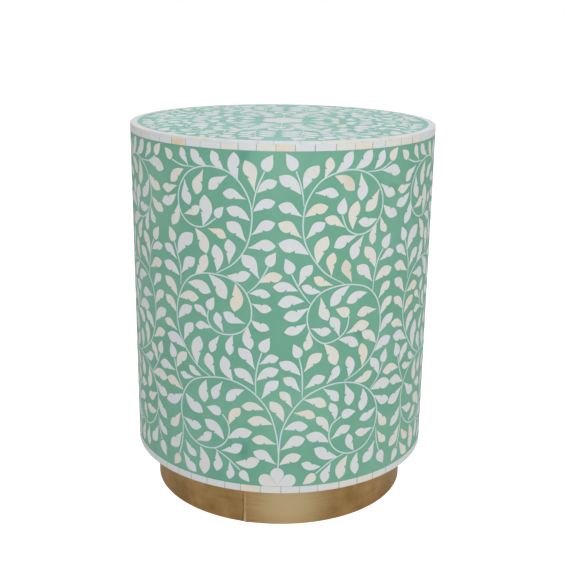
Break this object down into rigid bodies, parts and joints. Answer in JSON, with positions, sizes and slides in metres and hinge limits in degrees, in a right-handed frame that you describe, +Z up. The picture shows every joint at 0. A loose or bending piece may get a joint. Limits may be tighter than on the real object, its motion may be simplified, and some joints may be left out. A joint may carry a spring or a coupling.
{
  "type": "bone inlay side table",
  "caption": "Drum side table: hollow wooden drum faced in poured resin inlaid with bone leaves, bone tiles at both edges, on a recessed plinth wrapped in sheet brass.",
  "frame": {"origin": "centre of the base on the floor", "axes": "+Z up along the drum's axis; the front, with the lap in the brass, faces -Y; +X is to the right of someone facing the front"},
  "size_m": [0.4, 0.4, 0.5],
  "materials": {
    "resin": "sea-green pigmented resin, polished",
    "joint_resin": "the same resin, darker in the thin joints",
    "bone_leaf": "polished bone, white to cream",
    "bone_tile": "polished bone, white to cream",
    "board_wood": "bare plywood board",
    "batten_wood": "sawn mango wood",
    "bent_plywood": "bent plywood",
    "steel": "zinc-plated steel",
    "brass": "aged sheet brass, mottled",
    "felt": "dark felt"
  },
  "bodies": {
    "root": {"top_board": "board_wood", "bottom_board": "board_wood", "former_ring": "board_wood", "plinth_top": "board_wood", "plinth_base": "board_wood", "batten_1": "batten_wood", "batten_2": "batten_wood", "batten_3": "batten_wood", "batten_4": "batten_wood", "batten_5": "batten_wood", "batten_6": "batten_wood", "batten_7": "batten_wood", "batten_8": "batten_wood", "plinth_blocks": "batten_wood", "skin_front": "bent_plywood", "skin_back": "bent_plywood", "plinth_hoop": "bent_plywood", "skin_pins": "steel", "top_screws": "steel", "bottom_screws": "steel", "plinth_screws": "steel", "block_screws": "steel", "resin_front": "resin", "resin_right": "resin", "resin_back": "resin", "resin_left": "resin", "top_resin": "resin", "leaves_front": "bone_leaf", "leaves_right": "bone_leaf", "leaves_back": "bone_leaf", "leaves_left": "bone_leaf", "half_flowers": "bone_leaf", "top_leaves": "bone_leaf", "top_flower": "bone_leaf", "top_ring": "bone_tile", "top_tiles": "bone_tile", "bottom_tiles": "bone_tile", "top_grout": "joint_resin", "bottom_grout": "joint_resin", "brass_band": "brass", "felt_pads": "felt"}
  },
  "joints": []
}
